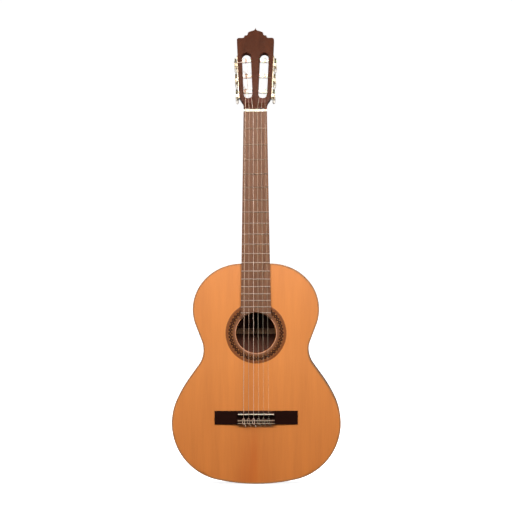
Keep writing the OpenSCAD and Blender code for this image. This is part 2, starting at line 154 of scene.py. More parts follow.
def dome_y(x, z, depth=0.0):
    """The arched back's surface, or one that lies depth under it."""
    reach = (DOME_R - depth) ** 2 - x * x - (z - DOME_Z) ** 2
    return BODY_DEPTH - DOME_R + math.sqrt(reach)


# ---------------------------------------------------------------- mesh building
SHARP = math.radians(35)
WELD = 0.001


def finish_mesh(mesh):
    """Smooth faces, with the edges sharper than SHARP kept crisp."""
    bm = bmesh.new()
    bm.from_mesh(mesh)
    bmesh.ops.remove_doubles(bm, verts=bm.verts, dist=WELD * MM)
    bmesh.ops.recalc_face_normals(bm, faces=bm.faces)
    for face in bm.faces:
        face.smooth = True
    for edge in bm.edges:
        edge.smooth = len(edge.link_faces) == 2 and edge.calc_face_angle(0) < SHARP
    bm.to_mesh(mesh)
    bm.free()


def piece(name, points, faces, finish, slot, body="root", stands_for=(), grain=None):
    """A mesh of points in metres that rides on a body. slot is not used, and grain is a vector
    in mm for each point, along which wood and wire run."""
    mesh = bpy.data.meshes.new(name)
    mesh.from_pydata([tuple(p) for p in points], [], faces)
    mesh.update()
    if grain is not None:
        layer = mesh.attributes.new("grain", "FLOAT_VECTOR", "POINT")
        layer.data.foreach_set("vector", [c for g in grain for c in g])
    finish_mesh(mesh)
    obj = bpy.data.objects.new(name, mesh)
    bpy.context.scene.collection.objects.link(obj)
    mesh.materials.append(finish)
    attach(obj, body)
    if stands_for:
        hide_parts(*stands_for)
    return obj


def skin(rows, loop=False):
    """Points and faces over a stack of closed rows of equal length. loop joins the last row to
    the first one; otherwise both ends are capped."""
    n, m = len(rows[0]), len(rows)
    faces = [(j * n + i, j * n + (i + 1) % n,
              (j + 1) % m * n + (i + 1) % n, (j + 1) % m * n + i)
             for j in range(m if loop else m - 1) for i in range(n)]
    if not loop:
        faces += [tuple(range(n)), tuple((m - 1) * n + i for i in reversed(range(n)))]
    return [p for row in rows for p in row], faces


def tube(points, radius, sides=12):
    """A round tube along points in metres, with a grain attribute that runs along it."""
    points = [Vector(p) for p in points]
    rows, grain, run = [], [], 0.0
    normal = None
    for i, p in enumerate(points):
        ahead = (points[min(i + 1, len(points) - 1)] - p).normalized()
        behind = (p - points[max(i - 1, 0)]).normalized()
        tangent = (ahead + behind).normalized()
        if normal is None:
            normal = tangent.orthogonal().normalized()
        normal = (normal - tangent * normal.dot(tangent)).normalized()
        across = tangent.cross(normal)
        if i:
            run += (p - points[i - 1]).length / MM
        row = []
        for k in range(sides):
            a = 2 * math.pi * k / sides
            row.append(p + (normal * math.cos(a) + across * math.sin(a)) * radius * MM)
            grain.append((radius * math.cos(a), radius * math.sin(a), run))
        rows.append(row)
    verts, faces = skin(rows)
    return verts, faces, grain


def curved(points, per=5):
    """A smooth line through points in metres, with per points for each stretch."""
    points = [Vector(p) for p in points]
    ends = [2 * points[0] - points[1], *points, 2 * points[-1] - points[-2]]
    line = []
    for a, b, c, d in zip(ends, ends[1:], ends[2:], ends[3:]):
        for k in range(per):
            t = k / per
            line.append(0.5 * (2 * b + (c - a) * t + (2 * a - 5 * b + 4 * c - d) * t * t
                               + (3 * b - a - 3 * c + d) * t ** 3))
    return line + [points[-1]]


# ---------------------------------------------------------------- materials
def linear(code):
    """An sRGB hex colour as linear light, opaque."""
    parts = [int(code[i:i + 2], 16) / 255 for i in (1, 3, 5)]
    light = [c / 12.92 if c <= 0.04045 else ((c + 0.055) / 1.055) ** 2.4 for c in parts]
    return (*light, 1.0)


def add(tree, kind, settings=None, links=None):
    """Adds a shader node, with its settings or input values, and what feeds its inputs."""
    node = tree.nodes.new("ShaderNode" + kind)
    for key, value in (settings or {}).items():
        if key == "stops":
            elements = node.color_ramp.elements
            while len(elements) < len(value):
                elements.new(0.5)
            for element, (position, colour) in zip(elements, value):
                element.position = position
                element.color = colour
        elif isinstance(key, int) or key in node.inputs:
            node.inputs[key].default_value = value
        else:
            setattr(node, key, value)
    for key, source in (links or {}).items():
        tree.links.new(source.outputs[0] if isinstance(source, bpy.types.Node) else source,
                       node.inputs[key])
    return node


def material(name, colour, roughness, **sockets):
    """A principled material. Sockets are named as Blender names them, with _ for a space."""
    made = bpy.data.materials.new(name)
    made.use_nodes = True
    tree = made.node_tree
    shader = tree.nodes["Principled BSDF"]
    shader.inputs["Base Color"].default_value = linear(colour)
    shader.inputs["Roughness"].default_value = roughness
    for key, value in sockets.items():
        shader.inputs[key.replace("_", " ")].default_value = value
    return made, tree, shader


def millimetres(tree, attribute=None, across_grain="X"):
    """Coordinates in mm with the grain along the third one, from the frame or an attribute."""
    if attribute:
        return add(tree, "Attribute", {"attribute_name": attribute}).outputs["Vector"]
    where = add(tree, "TexCoord").outputs["Object"]
    scaled = add(tree, "VectorMath", {"operation": "SCALE", "Scale": 1 / MM}, {0: where})
    if across_grain == "X":
        return scaled.outputs[0]
    parts = add(tree, "SeparateXYZ", links={0: scaled})
    return add(tree, "CombineXYZ", links={0: parts.outputs[2], 1: parts.outputs[1],
                                          2: parts.outputs[0]}).outputs[0]


def streaks(tree, where, width, run, detail=2.0):
    """Noise that is width mm across the grain and run mm along it."""
    scaled = add(tree, "VectorMath", {"operation": "MULTIPLY", 1: (1 / width, 1 / width, 1 / run)},
                 {0: where})
    return add(tree, "TexNoise", {"Scale": 1.0, "Detail": detail, "Roughness": 0.55},
               {"Vector": scaled})


def mixed(tree, factor, a, b):
    """Colour b over colour a by factor. a and b are hex colours or sockets."""
    node = add(tree, "Mix", {"data_type": "RGBA"}, {0: factor})
    for index, colour in ((6, a), (7, b)):
        if isinstance(colour, str):
            node.inputs[index].default_value = linear(colour)
        else:
            tree.links.new(colour, node.inputs[index])
    return node.outputs[2]


def spread(tree, value, low, high):
    """Stretches value from low..high to 0..1."""
    return add(tree, "MapRange", {"From Min": low, "From Max": high}, {"Value": value}).outputs[0]


def relief(tree, shader, height, depth_mm, strength):
    """Raises the surface by up to depth_mm where height is 1."""
    bump = add(tree, "Bump", {"Strength": strength, "Distance": depth_mm * MM},
               {"Height": height})
    tree.links.new(bump.outputs[0], shader.inputs["Normal"])


PORE_DARK = "#1A0B06"
VARNISH_ROUGHNESS = 0.12


def wood(name, light, dark, roughness, line, figure, pore, coat=0.0, attribute=None,
         across_grain="X", mirrored=False, contrast=0.5, gloss=0.5):
    """Planed wood: growth lines line mm apart, broad figure of figure mm and pores pore mm wide.
    mirrored opens two matched halves from the centreline."""
    made, tree, shader = material(name, light, roughness, Coat_Weight=coat,
                                  Coat_Roughness=VARNISH_ROUGHNESS, Specular_IOR_Level=gloss)
    where = millimetres(tree, attribute, across_grain)
    if mirrored:
        parts = add(tree, "SeparateXYZ", links={0: where})
        fold = add(tree, "Math", {"operation": "ABSOLUTE"}, {0: parts.outputs[0]})
        where = add(tree, "CombineXYZ", links={0: fold, 1: parts.outputs[1],
                                               2: parts.outputs[2]}).outputs[0]
    broad = streaks(tree, where, figure, figure * 14)

    # Growth lines wander with the figure, and lean a little through the wood's depth
    bend = add(tree, "Math", {"operation": "MULTIPLY", 1: line * 5}, {0: broad})
    across = add(tree, "SeparateXYZ", links={0: where})
    shifted = add(tree, "Math", {"operation": "ADD"}, {0: across.outputs[0], 1: bend})
    leaning = add(tree, "Math", {"operation": "MULTIPLY_ADD", 1: 0.6},
                  {0: across.outputs[1], 2: shifted})
    phase = add(tree, "Math", {"operation": "MULTIPLY", 1: 2 * math.pi / line}, {0: leaning})
    wave = add(tree, "Math", {"operation": "SINE"}, {0: phase})
    lines = spread(tree, wave.outputs[0], 0.1, 1.0)

    # The lines, the broad figure and fine fibres add up to one tone from light to dark
    fine = streaks(tree, where, line * 0.35, line * 30, 4.0)
    tone = add(tree, "Math", {"operation": "MULTIPLY_ADD", 1: 0.35},
               {0: lines, 2: spread(tree, broad.outputs[0], 0.25, 1.1)})
    tone = add(tree, "Math", {"operation": "MULTIPLY_ADD", 1: 0.45},
               {0: spread(tree, fine.outputs[0], 0.3, 0.8), 2: tone})
    tone = add(tree, "Math", {"operation": "MULTIPLY", 1: contrast, "use_clamp": True}, {0: tone})
    colour = mixed(tree, tone.outputs[0], light, dark)
    if pore:
        pores = streaks(tree, where, pore, pore * 26, 1.0)
        holes = spread(tree, pores.outputs[0], 0.6, 0.68)
        shade = add(tree, "Math", {"operation": "MULTIPLY", 1: 0.55}, {0: holes})
        colour = mixed(tree, shade.outputs[0], colour, PORE_DARK)
        sunk = add(tree, "Math", {"operation": "MULTIPLY_ADD", 1: -1.0, 2: 1.0}, {0: holes})
        relief(tree, shader, sunk.outputs[0], 0.06, 0.5)
    else:
        relief(tree, shader, fine.outputs[0], 0.03, 0.25)
    tree.links.new(colour, shader.inputs["Base Color"])
    return made


def metal(name, colour, roughness, dulled, patch=6.0):
    """Polished metal that has dulled in patches of patch mm, which are rougher too."""
    made, tree, shader = material(name, colour, roughness, Metallic=1.0)
    where = millimetres(tree)
    stain = add(tree, "TexNoise", {"Scale": 1 / patch, "Detail": 4.0}, {"Vector": where})
    tree.links.new(mixed(tree, spread(tree, stain.outputs[0], 0.4, 0.75), colour, dulled),
                   shader.inputs["Base Color"])
    rub = add(tree, "MapRange", {"To Min": roughness * 0.8, "To Max": roughness * 1.7},
              {"Value": stain.outputs[0]})
    tree.links.new(rub.outputs[0], shader.inputs["Roughness"])
    return made


# French-polished western red cedar: straight quartered grain a little over a millimetre apart,
# two matched halves, a thin clear gloss over a warm orange-brown
CEDAR = wood("french_polished_cedar", "#D07E35", "#AD6225", 0.45, 1.3, 17, 0, coat=0.25,
             mirrored=True, contrast=0.62)


# How far the cedar has turned red, at each distance in mm from the centre joint
RED_STREAK = [(-60, 0.0), (-30, 0.25), (-24, 0.45), (-10, 0.5), (-3, 1.0), (4, 1.0), (9, 0.55),
              (14, 0.3), (40, 0.1), (60, 0.0)]
STREAK_TOP, STREAK_FULL = 150, 20
# A painted shade darkens and warms all of the cedar from the first height (mm) down to the tail,
# by up to the second share: partly the cedar's own colour, partly light falling off from above
TAIL_SHADE_TOP, TAIL_SHADE_SHARE = 270, 0.42


def heartwood_and_painted_shade(made):
    """Redder streaks beside the centre joint, and a painted shade over all of the top that darkens
    and warms it, both deepening to the tail; the shade is partly the cedar's own colour and partly
    light falling off from above.
    """
    tree = made.node_tree
    shader = tree.nodes["Principled BSDF"]
    parts = add(tree, "SeparateXYZ", links={0: millimetres(tree)})
    wander = add(tree, "TexNoise", {"Scale": 0.012, "Detail": 2.0}, {"Vector": millimetres(tree)})
    across = add(tree, "Math", {"operation": "MULTIPLY_ADD", 1: 14.0},
                 {0: wander, 2: parts.outputs[0]})
    first, last = RED_STREAK[0][0], RED_STREAK[-1][0]
    stops = [((x - first) / (last - first), (v, v, v, 1)) for x, v in RED_STREAK]
    red = add(tree, "ValToRGB", {"stops": stops},
              {0: spread(tree, across.outputs[0], first, last)})
    low = spread(tree, parts.outputs[2], STREAK_TOP, STREAK_FULL)
    streaked = add(tree, "Math", {"operation": "MULTIPLY"}, {0: red, 1: low})
    # Painted shade: darker and warmer towards the tail, partly the light falling off from above
    tail_shade = spread(tree, parts.outputs[2], TAIL_SHADE_TOP, 0)
    red_and_shade = add(tree, "Math", {"operation": "MULTIPLY_ADD", 1: TAIL_SHADE_SHARE, "use_clamp": True},
                 {0: tail_shade, 2: streaked})
    colour = shader.inputs["Base Color"].links[0].from_socket
    redder_and_shaded = add(tree, "Mix",
                 {"data_type": "RGBA", "blend_type": "MULTIPLY", 7: linear("#F0D4A8")},
                 {0: red_and_shade, 6: colour})
    tree.links.new(redder_and_shaded.outputs[2], shader.inputs["Base Color"])


heartwood_and_painted_shade(CEDAR)

# Lacquered mahogany: short open pores filled under a high gloss, ribbon figure
MAHOGANY = wood("lacquered_mahogany", "#7A3A22", "#4A1B10", 0.35, 3.5, 22, 0.35, coat=0.7,
                mirrored=True, contrast=0.7)
RIB_MAHOGANY = wood("lacquered_mahogany_sides", "#7A3A22", "#4A1B10", 0.35, 3.5, 22, 0.35,
                    coat=0.7, attribute="grain", contrast=0.7)
# Satin mahogany of the neck: the same wood under a thin wiped finish
NECK_MAHOGANY = wood("satin_mahogany", "#6A3626", "#421E16", 0.4, 3.0, 15, 0.35, contrast=0.7,
                     gloss=0.3)
# Head veneer: dark plain-sawn rosewood, polished
VENEER = wood("polished_head_veneer", "#542B19", "#33190D", 0.25, 2.2, 12, 0.3, contrast=0.75,
              gloss=0.2)
# Oiled rosewood fingerboard: open pores, satin from the players' hands
ROSEWOOD = wood("oiled_rosewood", "#82593F", "#4A2D1F", 0.45, 2.4, 7, 0.3, contrast=0.8,
                gloss=0.17)
# Nearly black rosewood of the bridge, grain across the guitar
BRIDGE_WOOD = wood("dark_rosewood", "#240D08", "#110503", 0.3, 1.6, 8, 0.3,
                   across_grain="Z", contrast=0.8, gloss=0.12)
# Binding: bent strips of brown wood, polished with the body
BINDING = wood("bent_wood_binding", "#A66C3C", "#7C4C28", 0.3, 1.2, 9, 0.2, coat=0.6,
               contrast=0.7)
BINDING_RUN = wood("bent_wood_binding_run", "#A66C3C", "#7C4C28", 0.3, 1.2, 9, 0.2, coat=0.6,
                   attribute="grain", contrast=0.7)
# Purfling: one thin line of paler veneer inside the binding
PURFLING = wood("purfling_line", "#B87A44", "#8A5428", 0.35, 0.8, 6, 0, coat=0.5)
# Bare planed wood inside the body: pale spruce for the braces, the dull inner face of the
# back, and brown Spanish cedar for linings and blocks
SPRUCE = wood("bare_spruce", "#D9B98A", "#B58E5C", 0.7, 1.1, 10, 0, contrast=0.6)
BARE_MAHOGANY = wood("bare_mahogany", "#6C3212", "#50240C", 0.65, 3.5, 22, 0.35, mirrored=True,
                     contrast=0.6)
CEDRO = wood("bare_spanish_cedar", "#B88A64", "#8A5C3E", 0.7, 2.0, 12, 0.3, contrast=0.6)
# Lacquered brass of the tuner plates, and the darker, duller brass of the gears
BRASS = metal("lacquered_brass", "#E6D4B8", 0.35, "#CDB690")
GEAR_BRASS = metal("aged_brass", "#7E7458", 0.45, "#4C4430", 3.0)
# Plated screws: bright, with a faint haze
STEEL = metal("plated_steel", "#B9B6AE", 0.3, "#8F8B82", 4.0)
# Nickel silver frets, dulled in patches; painted shade darkens them towards the nut
NICKEL = metal("nickel_silver", "#B09888", 0.38, "#947C6A", 5.0)


# Painted shade on the frets begins at the first height and is full at the second
FRET_SHADE_FROM, FRET_SHADE_FULL = BODY_TOP - 10, BODY_TOP + 170


def painted_shade_on_frets(made):
    """Painted shade that darkens the frets along the neck, from the body to the nut."""
    tree = made.node_tree
    shader = tree.nodes["Principled BSDF"]
    height = add(tree, "SeparateXYZ", links={0: millimetres(tree)}).outputs[2]
    colour = shader.inputs["Base Color"].links[0].from_socket
    # Painted shade: the frets darken to a dull brown from the body towards the nut
    fret_shade = spread(tree, height, FRET_SHADE_FROM, FRET_SHADE_FULL)
    tree.links.new(mixed(tree, fret_shade, colour, "#6E5848"), shader.inputs["Base Color"])


painted_shade_on_frets(NICKEL)


def bone(name, light, dark):
    """Polished bone: dense and pale, with fine lengthwise fibres."""
    made, tree, shader = material(name, light, 0.3, Subsurface_Weight=0.1, Subsurface_Scale=0.001)
    where = millimetres(tree, across_grain="Z")
    fibres = streaks(tree, where, 0.4, 9.0, 3.0)
    tree.links.new(mixed(tree, spread(tree, fibres.outputs[0], 0.35, 0.8), light, dark),
                   shader.inputs["Base Color"])
    relief(tree, shader, fibres.outputs[0], 0.02, 0.2)
    return made


def pearloid():
    """Pearloid: cellulose with a swirled pearl filler under a moulded gloss, and a faint glow that
    is painted light for the light the white paper throws on it.
    """
    # The emission is painted light: it keeps the buttons pale where they stand in shade
    made, tree, shader = material("pearloid", "#FAF4EA", 0.22, Coat_Weight=0.5, IOR=1.5,
                                  Emission_Color=linear("#FFF8EC"), Emission_Strength=0.3)
    where = millimetres(tree)
    swirl = add(tree, "TexNoise", {"Scale": 0.16, "Detail": 3.0, "Distortion": 2.2},
                {"Vector": where})
    flakes = add(tree, "TexVoronoi", {"Scale": 0.5, "feature": "F1"}, {"Vector": where})
    tone = add(tree, "Math", {"operation": "MULTIPLY_ADD", 1: 0.35},
               {0: flakes.outputs["Distance"], 2: swirl.outputs[0]})
    tree.links.new(mixed(tree, spread(tree, tone.outputs[0], 0.4, 0.9), "#FFFBF4", "#E6DAC8"),
                   shader.inputs["Base Color"])
    return made


def moulded_ivory():
    """Ivory-coloured acetal of the rollers: moulded, waxy, with faint turning marks."""
    made, tree, shader = material("moulded_acetal", "#F6F0E4", 0.35, Subsurface_Weight=0.15,
                                  Subsurface_Scale=0.001)
    where = millimetres(tree)
    marks = streaks(tree, where, 0.5, 14, 2.0)
    tree.links.new(mixed(tree, spread(tree, marks.outputs[0], 0.4, 0.8), "#FAF6EC", "#EAE0CC"),
                   shader.inputs["Base Color"])
    relief(tree, shader, marks.outputs[0], 0.02, 0.2)
    return made


def nylon():
    """Clear nylon: an extruded single thread, slightly milky, with a soft shine."""
    made, tree, shader = material("clear_nylon", "#F0E0C8", 0.25, IOR=1.53, Alpha=0.18)
    where = millimetres(tree, "grain")
    haze = streaks(tree, where, 0.6, 40, 2.0)
    tree.links.new(mixed(tree, haze.outputs[0], "#F4E6D0", "#E0CCAA"), shader.inputs["Base Color"])
    return made


# The real turns are about 0.15 mm apart, too fine to show
WIRE_TURN = 0.4


def wound_wire(name, light, dark):
    """Silvered copper wire wound on a nylon core, drawn coarser than it is, with painted shade in
    the grooves between the turns.
    """
    made, tree, shader = material(name, light, 0.5, Metallic=0.25)
    where = millimetres(tree, "grain")
    along = add(tree, "SeparateXYZ", links={0: where})
    turns = add(tree, "Math", {"operation": "MULTIPLY", 1: 2 * math.pi / WIRE_TURN},
                {0: along.outputs[2]})
    wave = add(tree, "Math", {"operation": "SINE"}, {0: turns})
    # Painted shade: the colour darkens where the relief sinks between the turns
    tree.links.new(mixed(tree, spread(tree, wave.outputs[0], -1.0, 1.0), dark, light),
                   shader.inputs["Base Color"])
    relief(tree, shader, wave.outputs[0], 0.05, 0.6)
    return made


def from_hole(tree):
    """Radius and turn about the sound hole: mm, and a share of a full turn."""
    where = millimetres(tree)
    off = add(tree, "VectorMath", {"operation": "SUBTRACT", 1: (0, FACE_Y, HOLE_Z)}, {0: where})
    parts = add(tree, "SeparateXYZ", links={0: off})
    flat = add(tree, "CombineXYZ", links={0: parts.outputs[0], 1: parts.outputs[2]})
    radius = add(tree, "VectorMath", {"operation": "LENGTH"}, {0: flat}).outputs["Value"]
    angle = add(tree, "Math", {"operation": "ARCTAN2"}, {0: parts.outputs[2], 1: parts.outputs[0]})
    turn = add(tree, "Math", {"operation": "MULTIPLY_ADD", 1: 0.5 / math.pi, 2: 0.5}, {0: angle})
    return radius, turn.outputs[0]


RING_IN, MOSAIC_IN, MOSAIC_OUT, RING_OUT = 44.0, 51.0, 59.4, 65.5
# Diamonds around the ring, sticks across it, and sticks along it for each diamond
DIAMONDS, STICKS, RUN = 46, 7, 6
# A stick is dark if its steps from a diamond's middle differ from DARK_AT by DARK_WITHIN or less
DARK_AT, DARK_WITHIN = 2.3, 2.0


def mosaic():
    """Rosette mosaic: end-grain sticks of dyed wood in a row of diamonds, under the polish."""
    made, tree, shader = material("rosette_mosaic", "#4A2A14", 0.35, Coat_Weight=0.1,
                                  Specular_IOR_Level=0.2)
    radius, turn = from_hole(tree)
    across = spread(tree, radius, MOSAIC_IN, MOSAIC_OUT)
    out = add(tree, "Math", {"operation": "MULTIPLY", 1: STICKS}, {0: across})
    row = add(tree, "Math", {"operation": "FLOOR"}, {0: out})
    around = add(tree, "Math", {"operation": "MULTIPLY", 1: DIAMONDS * RUN}, {0: turn})
    column = add(tree, "Math", {"operation": "FLOOR"}, {0: around})
    steps_along = add(tree, "Math", {"operation": "PINGPONG", 1: RUN / 2}, {0: column})
    off_middle = add(tree, "Math", {"operation": "SUBTRACT", 1: (STICKS - 1) / 2}, {0: row})
    steps_across = add(tree, "Math", {"operation": "ABSOLUTE"}, {0: off_middle})
    steps = add(tree, "Math", {"operation": "ADD"}, {0: steps_across, 1: steps_along})
    dark = add(tree, "Math", {"operation": "COMPARE", 1: DARK_AT, 2: DARK_WITHIN},
               {0: steps}).outputs[0]
    cell = add(tree, "CombineXYZ", links={0: row, 1: column})
    stain = add(tree, "TexWhiteNoise", {"noise_dimensions": "2D"}, {"Vector": cell})
    light = mixed(tree, stain.outputs["Value"], "#6E3C16", "#A46C3A")
    deep = mixed(tree, stain.outputs["Value"], "#120602", "#4A240C")
    tree.links.new(mixed(tree, dark, light, deep), shader.inputs["Base Color"])
    return made


# Where each veneer line starts, as a share of the way out across the rings, and its colour
BORDER_LINES = [(0.0, "#C8967C"), (0.045, "#603620"), (0.07, "#7E5034"), (0.2, "#6A4024"),
                (0.28, "#462410"), (0.31, "#6A3E20"), (0.7, "#3A1A08"), (0.74, "#86491F"),
                (0.82, "#6E3A16"), (0.9, "#8E5026"), (0.95, "#6A3818")]


def borders():
    """Rosette borders: bent veneer lines inside and outside the mosaic."""
    made, tree, shader = material("rosette_border_lines", "#8A5A38", 0.35, Coat_Weight=0.15,
                                  Specular_IOR_Level=0.3)
    radius, turn = from_hole(tree)
    reach = spread(tree, radius, RING_IN, RING_OUT)
    stops = [(share, linear(colour)) for share, colour in BORDER_LINES]
    bands = add(tree, "ValToRGB", {"stops": stops}, {0: reach})
    bands.color_ramp.interpolation = "CONSTANT"
    grain = add(tree, "CombineXYZ", links={
        0: add(tree, "Math", {"operation": "MULTIPLY", 1: 1.4}, {0: radius}),
        1: add(tree, "Math", {"operation": "MULTIPLY", 1: 70.0}, {0: turn})})
    fleck = add(tree, "TexNoise", {"Scale": 1.6, "Detail": 3.0}, {"Vector": grain})
    tree.links.new(mixed(tree, spread(tree, fleck.outputs[0], 0.45, 0.75), bands.outputs[0],
                         "#5E3419"), shader.inputs["Base Color"])
    return made


BONE = bone("polished_bone", "#EADFCB", "#CDBEA0")
SADDLE_BONE = bone("saddle_bone", "#CFC2AE", "#B0A28A")
INLAY_BONE = bone("aged_bone", "#A08C76", "#846E58")
PEARLOID = pearloid()
ACETAL = moulded_ivory()
NYLON = nylon()
# The fourth string's winding is drawn lightest, and the fifth's darkest
WOUND = {4: wound_wire("silvered_winding", "#F8E0CE", "#D4B29C"),
         5: wound_wire("darkest_silvered_winding", "#C8A890", "#A08068"),
         6: wound_wire("darker_silvered_winding", "#E0C2AA", "#B4947C")}
MOSAIC = mosaic()
BORDERS = borders()

# ---------------------------------------------------------------- finishes of the CAD pieces
# Piece, finish, and how far its edges are eased in mm
FINISHES = [
    ("soundboard", CEDAR, 0), ("back_plate", MAHOGANY, 0), ("linings", CEDRO, 0),
    ("top_purfling", PURFLING, 0), ("tail_block", CEDRO, 0), ("neck_block", CEDRO, 0),
    ("heel_cap", BINDING, 0.5), ("headstock", NECK_MAHOGANY, 0.5),
    ("headstock_veneer", VENEER, 0.3), ("fingerboard", ROSEWOOD, 0.4), ("frets", NICKEL, 0.15),
    ("nut", BONE, 0.3), ("saddle", SADDLE_BONE, 0.2), ("bridge", BRIDGE_WOOD, 0.5),
    ("tie_block_inlays", INLAY_BONE, 0.1), ("rosette_mosaic", MOSAIC, 0),
    ("rosette_borders", BORDERS, 0), ("harmonic_bars", SPRUCE, 0.5), ("fan_braces", SPRUCE, 0.4),
    ("back_braces", CEDRO, 0.5), ("back_seam_strip", BARE_MAHOGANY, 0.2),
    ("bridge_patch", SPRUCE, 0.2), ("tuner_plates", BRASS, 0.3), ("worm_bushings", BRASS, 0.5),
    ("tuner_plate_screws", BRASS, 0.2),
    *[(f"roller_{n}", ACETAL, 0.25) for n in STRINGS],
    *[(f"gear_{n}", GEAR_BRASS, 0.15) for n in STRINGS],
]
CAD_WELD = 0.005


def finish_node(name, finish, ease):
    """Gives a CAD piece its finish, eased edges and smooth curved faces."""
    obj = nodes[name]
    obj.data.materials.clear()
    obj.data.materials.append(finish)
    for face in obj.data.polygons:
        face.use_smooth = True
        face.material_index = 0
    weld = obj.modifiers.new("weld", "WELD")
    weld.merge_threshold = CAD_WELD * MM
    if ease:
        bevel = obj.modifiers.new("eased_edges", "BEVEL")
        bevel.width = ease * MM
        bevel.segments = 2
        bevel.angle_limit = SHARP
        bevel.harden_normals = True
    weighted = obj.modifiers.new("flat_faces", "WEIGHTED_NORMAL")
    weighted.keep_sharp = True


for name, finish, ease in FINISHES:
    finish_node(name, finish, ease)

# ---------------------------------------------------------------- body
def outline_points(inset, both=False):
    """Half of the outline up to the neck's middle, or all of it."""
    half = half_outline(inset)
    half.append((0.0, half[-1][1]))
    return half + [(-x, z) for x, z in reversed(half[1:-1])] if both else half


def strip(name, profile, finish, slot, stands_for, which=0):
    """A bent strip along the outline. The profile's points are (inset, depth), the depth from
    the face, or under the arched back where negative. which is 0 for both sides, or 1 or -1."""
    runs = {inset: outline_points(inset, which == 0) for inset, _ in profile}
    count = len(next(iter(runs.values())))
    rows, grain, along = [], [], 0.0
    for k in range(count):
        if k:
            along += math.dist(runs[profile[0][0]][k], runs[profile[0][0]][k - 1])
        row = []
        for inset, depth in profile:
            x, z = runs[inset][k]
            y = depth if depth >= 0 else dome_y(x, z, -depth)
            row.append(place((which or 1) * x, y, z))
            grain.append((y, inset, along))
        rows.append(row)
    points, faces = skin(rows, loop=which == 0)
    piece(name, points, faces, finish, slot, stands_for=[stands_for], grain=grain)


# Under the arch, a depth needs a minus sign: UNDER_BACK is its surface
UNDER_BACK = -0.001
for rib, which in (("rib_treble", 1), ("rib_bass", -1)):
    strip(rib + "_bent", [(0, BIND_H), (0, -BIND_H), (RIB_T, -BIND_H), (RIB_T, BIND_H)],
          RIB_MAHOGANY, "mahogany_back", rib, which)
strip("top_binding_bent",
      [(0, BIND_H), (RIB_T, BIND_H), (RIB_T, 0), (EDGE_ROUND, 0), (0.3 * EDGE_ROUND, 0.1),
       (0.05 * EDGE_ROUND, 0.3), (0, EDGE_ROUND)],
      BINDING_RUN, "binding_wood", "top_binding")
strip("back_binding_bent",
      [(0, -BIND_H), (0, -EDGE_ROUND), (0.3 * EDGE_ROUND, -0.3 * EDGE_ROUND),
       (EDGE_ROUND, UNDER_BACK), (RIB_T, UNDER_BACK), (RIB_T, -BIND_H)],
      BINDING_RUN, "binding_wood", "back_binding")
strip("top_purfling_line",
      [(RIB_T, PURFLING_T), (RIB_T, 0.0), (RIB_T + PURFLING_W, 0.0),
       (RIB_T + PURFLING_W, PURFLING_T)],
      PURFLING, "purfling_wood", "top_purfling")

BACK_COLUMNS = 32


def back():
    """The arched back: bare wood on its inner face, polished outside."""
    rows = []
    for x, z in half_outline(RIB_T):
        spots = [x * (2 * i / BACK_COLUMNS - 1) for i in range(BACK_COLUMNS + 1)]
        rows.append([place(a, dome_y(a, z), z) for a in spots]
                    + [place(a, dome_y(a, z, PLATE_T), z) for a in reversed(spots)])
    points, faces = skin(rows)
    obj = piece("back_arched", points, faces, MAHOGANY, "mahogany_back",
                stands_for=["back_plate"])
    obj.data.materials.append(BARE_MAHOGANY)
    for face in obj.data.polygons:
        face.material_index = 1 if face.normal.y < -0.5 else 0


back()

# ---------------------------------------------------------------- neck
HEEL_HALF = 13.0
HEEL_TOP = BODY_TOP + 83
HEEL_FOOT = BODY_TOP + 20
NECK_DEEP = 19.0
NECK_THIN = HEAD_T * math.cos(TILT) - VENEER_T
NECK_RIDGE = 0.5
CAP_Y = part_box("heel_cap")[0].y / MM - FACE_Y
SECTION_STEPS = 16
HEEL_STEPS = 30
SHAFT_STEPS = 12


def neck_thickness(z):
    """The neck thins evenly from the heel to the nut."""
    if z <= HEEL_TOP:
        return NECK_DEEP
    return NECK_THIN + (NECK_DEEP - NECK_THIN) * (NUT_Z - z) / (NUT_Z - HEEL_TOP)


def neck_section(z, depth, foot, slant=False):
    """A round-backed section. foot runs from 0 on the neck to 1 on the heel's foot, and slant
    tilts it to meet the headstock."""
    rise = (NUT_Z - z) / (NUT_Z - BODY_TOP)
    half = NUT_HALF + (JOIN_HALF - NUT_HALF) * rise
    thick = neck_thickness(z)
    drop = (half ** 2 - thick ** 2) / (2 * thick)
    radius, first = thick + drop, math.atan2(drop, half)
    cap = NECK_RIDGE + (HEEL_HALF - NECK_RIDGE) * foot
    row = []
    for k in range(2 * SECTION_STEPS + 1):
        share = 1 - abs(k - SECTION_STEPS) / SECTION_STEPS
        turn = first + (math.pi / 2 - first) * share
        x = cap + (half - cap) * max(radius * math.cos(turn) / half, 0) ** (1 + 3 * foot)
        y = (radius * math.sin(turn) - drop) / thick * depth
        if k == SECTION_STEPS:
            x = 0.0
        rises = HEAD_Z - (y + VENEER_T) * math.tan(TILT) if slant else z
        row.append(place(x if k < SECTION_STEPS else -x, y, rises))
    return row


def neck():
    """The neck and its heel, carved from one piece: a quarter turn sweeps out to the foot."""
    rows = [neck_section(BODY_TOP, CAP_Y, 1)]
    for step in range(HEEL_STEPS, -1, -1):
        turn = math.radians(90 * step / HEEL_STEPS)
        foot = 1 - math.cos(turn)
        rows.append(neck_section(HEEL_TOP - (HEEL_TOP - HEEL_FOOT) * math.sin(turn),
                                 NECK_DEEP + (CAP_Y - NECK_DEEP) * foot, foot))
    for k in range(1, SHAFT_STEPS):
        z = HEEL_TOP + (NUT_Z - HEEL_TOP) * k / SHAFT_STEPS
        rows.append(neck_section(z, neck_thickness(z), 0))
    rows.append(neck_section(NUT_Z, NECK_THIN, 0, slant=True))
    points, faces = skin(rows)
    piece("neck_carved", points, faces, NECK_MAHOGANY, "neck_wood", stands_for=["neck"])


neck()

